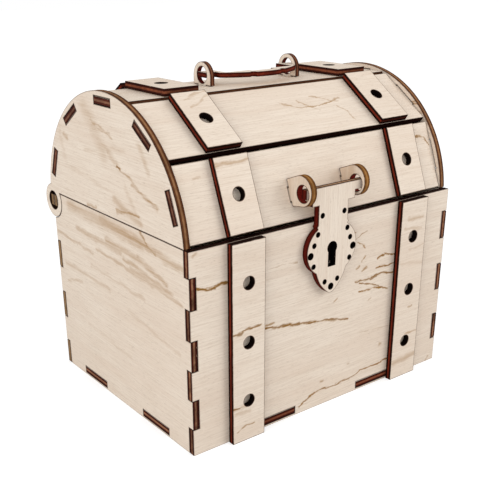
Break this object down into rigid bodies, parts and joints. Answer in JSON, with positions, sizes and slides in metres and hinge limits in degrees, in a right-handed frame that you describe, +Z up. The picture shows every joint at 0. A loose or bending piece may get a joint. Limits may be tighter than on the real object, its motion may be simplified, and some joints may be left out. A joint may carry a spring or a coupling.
{
  "type": "wooden chest",
  "caption": "Small plywood chest: finger-jointed box, barrel lid on ring hinges, surface straps, carrying handle on top and a swinging keyhole hasp on the front.",
  "frame": {"origin": "middle of the chest's footprint, on the surface it stands on", "axes": "+X to the right along the front, +Y from the front to the back, +Z up; the front with its hasp faces -Y"},
  "size_m": [0.15, 0.1282, 0.1502],
  "materials": {
    "panel": "raw birch plywood, fine grain, laser-burnt edges",
    "slat": "raw birch plywood, grain along the lid, laser-burnt edges",
    "arch": "raw birch plywood, laser-burnt edges",
    "strap": "raw birch plywood strip, laser-burnt edges and holes",
    "fitting": "raw birch plywood, laser-burnt edges and small holes"
  },
  "bodies": {
    "chest": {"bottom_panel": "panel", "front_panel": "panel", "back_panel": "panel", "side_panel_left": "panel", "side_panel_right": "panel", "front_strap_left": "strap", "front_strap_right": "strap", "back_strap_left": "strap", "back_strap_right": "strap", "hinge_rail": "strap"},
    "lid": {"lid_end_left": "arch", "lid_end_right": "arch", "lower_front_slat": "slat", "upper_front_slat": "slat", "top_slat": "slat", "upper_back_slat": "slat", "lower_back_slat": "slat", "lower_front_strap_left": "strap", "lower_front_strap_right": "strap", "upper_front_strap_left": "strap", "upper_front_strap_right": "strap", "top_strap_left": "strap", "top_strap_right": "strap", "upper_back_strap_left": "strap", "upper_back_strap_right": "strap", "lower_back_strap_left": "strap", "lower_back_strap_right": "strap", "handle_ear_left": "fitting", "handle_ear_right": "fitting", "hasp_ear_left": "fitting", "hasp_ear_right": "fitting"},
    "handle": {"handle_bail": "fitting"},
    "hasp": {"hasp_plate": "fitting"}
  },
  "joints": [
    {"name": "lid_hinge", "type": "hinge", "parent": "chest", "child": "lid", "pos_m": [0, 0.05616, 0.0857], "axis": [-1, 0, 0], "range_deg": [0, 118]},
    {"name": "handle_hinge", "type": "hinge", "parent": "lid", "child": "handle", "pos_m": [0.0033, 0.00391, 0.14456], "axis": [-1, 0, 0], "range_deg": [-13, 193]},
    {"name": "hasp_hinge", "type": "hinge", "parent": "lid", "child": "hasp", "pos_m": [-0.0032, -0.05979, 0.1032], "axis": [-1, 0, 0], "range_deg": [0, 217]}
  ]
}
